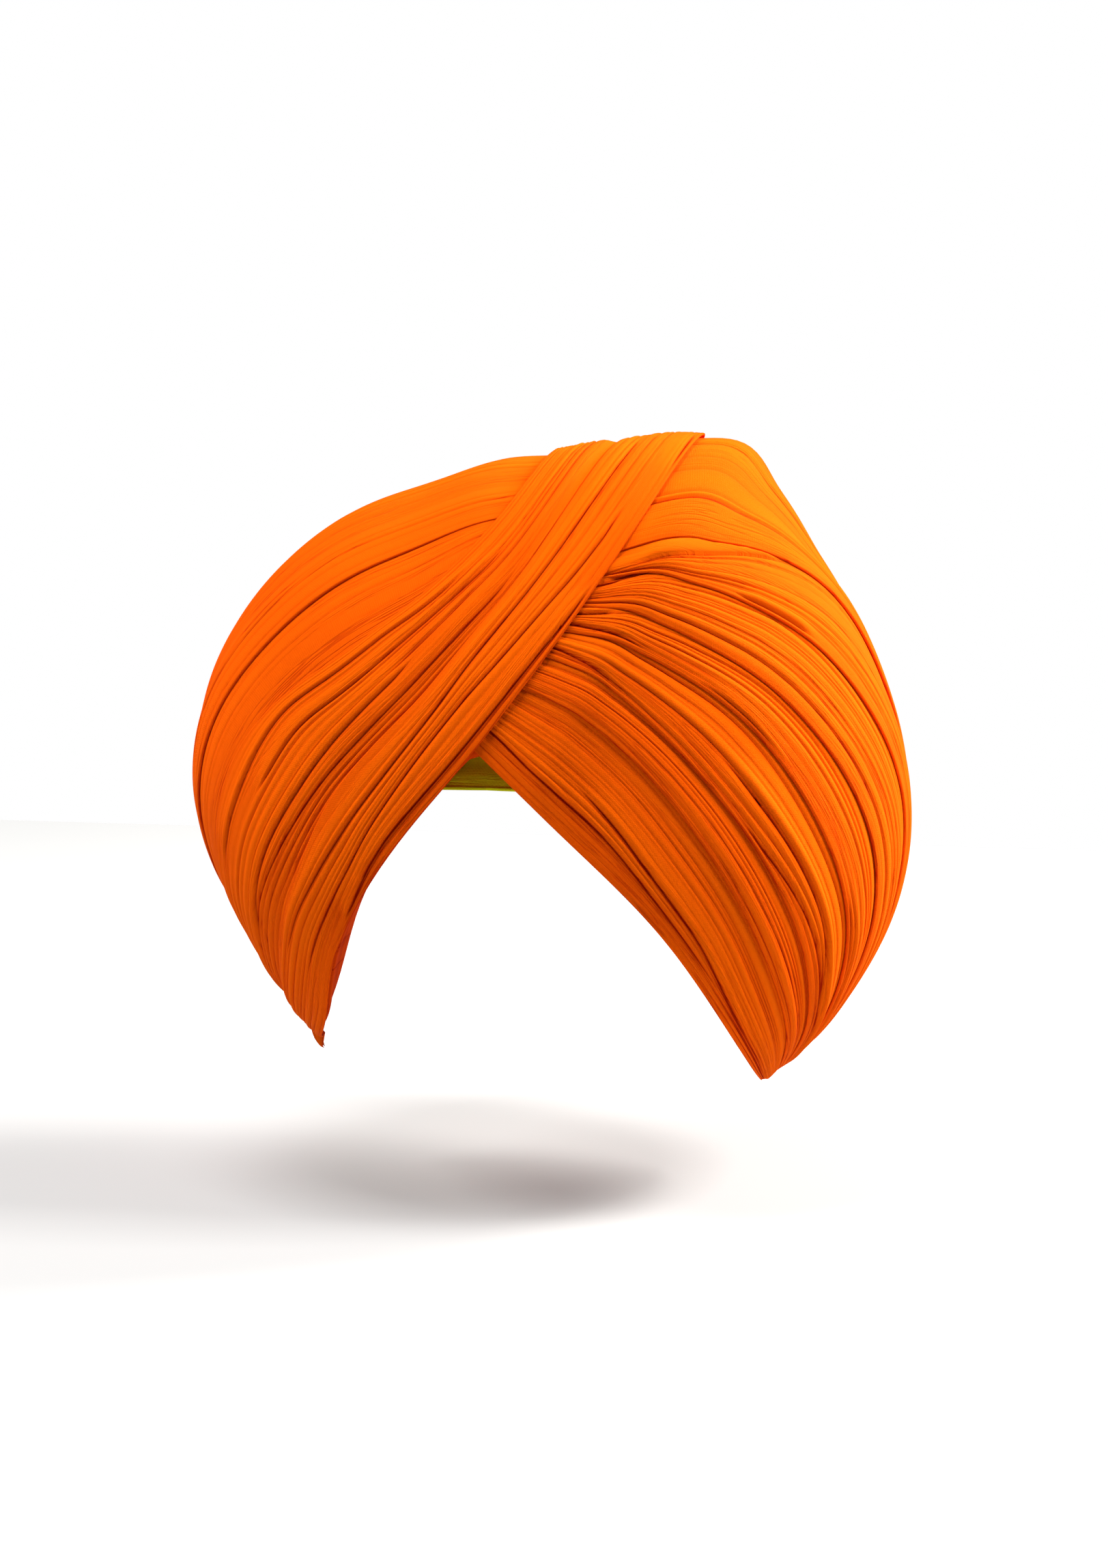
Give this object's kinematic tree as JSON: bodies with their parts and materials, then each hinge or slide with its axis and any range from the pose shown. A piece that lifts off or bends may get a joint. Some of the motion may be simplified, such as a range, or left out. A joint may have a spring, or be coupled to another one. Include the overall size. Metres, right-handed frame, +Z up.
{
  "type": "tied turban pagri",
  "caption": "Tied pagri turban of orange cotton voile: lapped turns rise from a point behind each ear and a pleated band crosses the forehead over an olive under-band.",
  "frame": {"origin": "the top of the wearer's head, inside the hollow, where the turban sits on the head", "axes": "+Z up, the wearer faces -Y, +X towards the wearer's left"},
  "size_m": [0.2705, 0.2503, 0.2474],
  "materials": {
    "orange_voile": "matte woven cotton voile, folded and pleated",
    "inner_voile": "matte woven cotton voile, the inner turns",
    "olive_cotton": "matte plain-woven cotton"
  },
  "bodies": {
    "root": {"under_turban_band": "olive_cotton", "inner_turns": "inner_voile", "left_turn_1": "orange_voile", "left_turn_2": "orange_voile", "left_turn_3": "orange_voile", "left_turn_4": "orange_voile", "left_turn_5": "orange_voile", "left_turn_6": "orange_voile", "back_turn_1": "orange_voile", "back_turn_2": "orange_voile", "back_turn_3": "orange_voile", "left_crown_turn": "orange_voile", "right_crown_turn": "orange_voile", "right_front_turn": "orange_voile", "right_back_turn": "orange_voile", "front_band_hem": "orange_voile", "front_band_folds": "orange_voile"}
  },
  "joints": []
}
